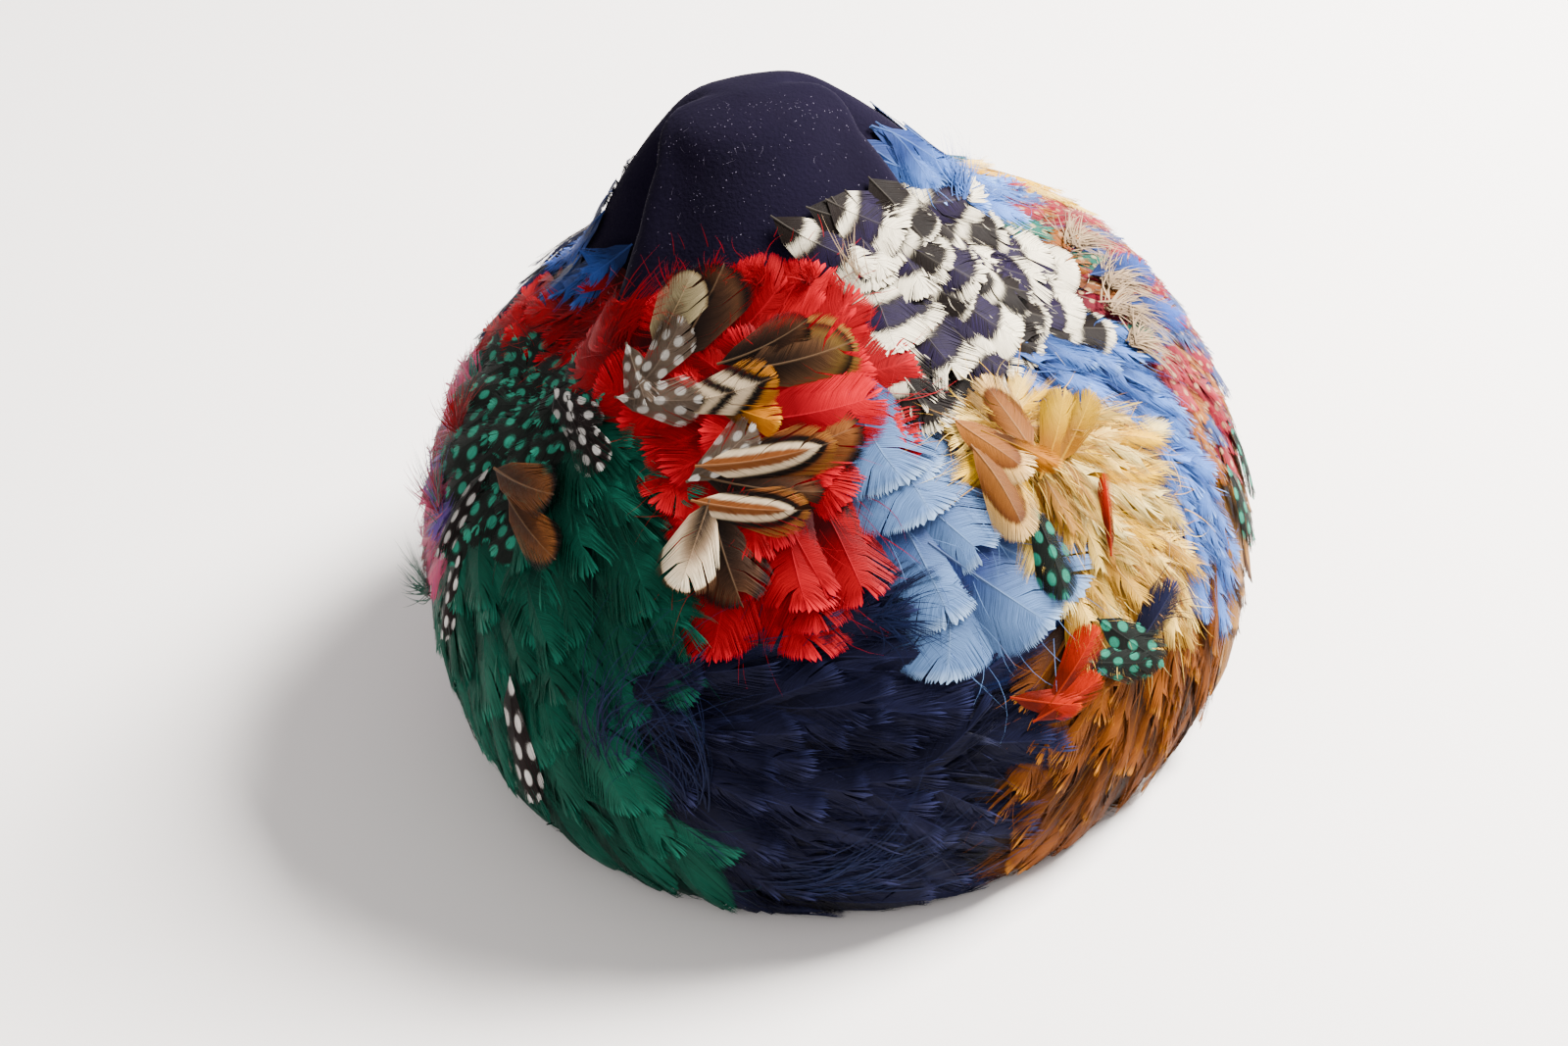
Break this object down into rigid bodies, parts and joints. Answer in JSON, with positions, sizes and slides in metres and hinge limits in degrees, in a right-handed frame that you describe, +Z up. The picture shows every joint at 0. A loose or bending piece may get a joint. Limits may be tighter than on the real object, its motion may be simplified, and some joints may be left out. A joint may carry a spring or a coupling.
{
  "type": "feather hat",
  "caption": "Felt toque rising to a blunt peak with a pinched pleat on each side, covered below by overlapping colour blocks of feathers.",
  "frame": {"origin": "centre of the hat's outline, on the surface that its rim rests on", "axes": "+Z up through the peak, -Y the front that the picture shows, +X the wearer's left"},
  "size_m": [0.2472, 0.2508, 0.178],
  "materials": {
    "felt": "velvety dark aubergine wool felt",
    "red_feather": "dyed red feathers, soft sheen",
    "green_feather": "dyed dark green feathers, soft sheen",
    "navy_feather": "dyed navy feathers, soft sheen",
    "light_blue_feather": "dyed light blue feathers, soft sheen",
    "tan_feather": "cream, straw and brown feathers, soft sheen",
    "orange_feather": "burnt orange and brown feathers",
    "barred_feather": "white and black barred feathers with a violet sheen",
    "rose_feather": "rose feathers with pale dots",
    "gold_feather": "golden brown feathers with dark edges",
    "spotted_feather": "near-black feathers with green dots",
    "wine_feather": "wine red and blue downy feathers",
    "blue_feather": "dyed mid blue feathers, soft sheen"
  },
  "bodies": {
    "root": {"felt_body": "felt", "red_feathers": "red_feather", "green_feathers": "green_feather", "navy_feathers": "navy_feather", "light_blue_feathers": "light_blue_feather", "tan_feathers": "tan_feather", "orange_rim_feathers": "orange_feather", "barred_feathers": "barred_feather", "blue_side_feathers": "light_blue_feather", "rose_side_feathers": "rose_feather", "gold_side_feathers": "gold_feather", "spotted_green_feathers": "spotted_feather", "wine_side_feathers": "wine_feather", "blue_crown_feathers": "blue_feather", "red_crown_feathers": "red_feather", "pale_blue_back_feathers": "light_blue_feather", "tan_back_feathers": "tan_feather", "green_back_feathers": "green_feather", "red_back_feathers": "red_feather", "navy_back_feathers": "navy_feather"}
  },
  "joints": []
}
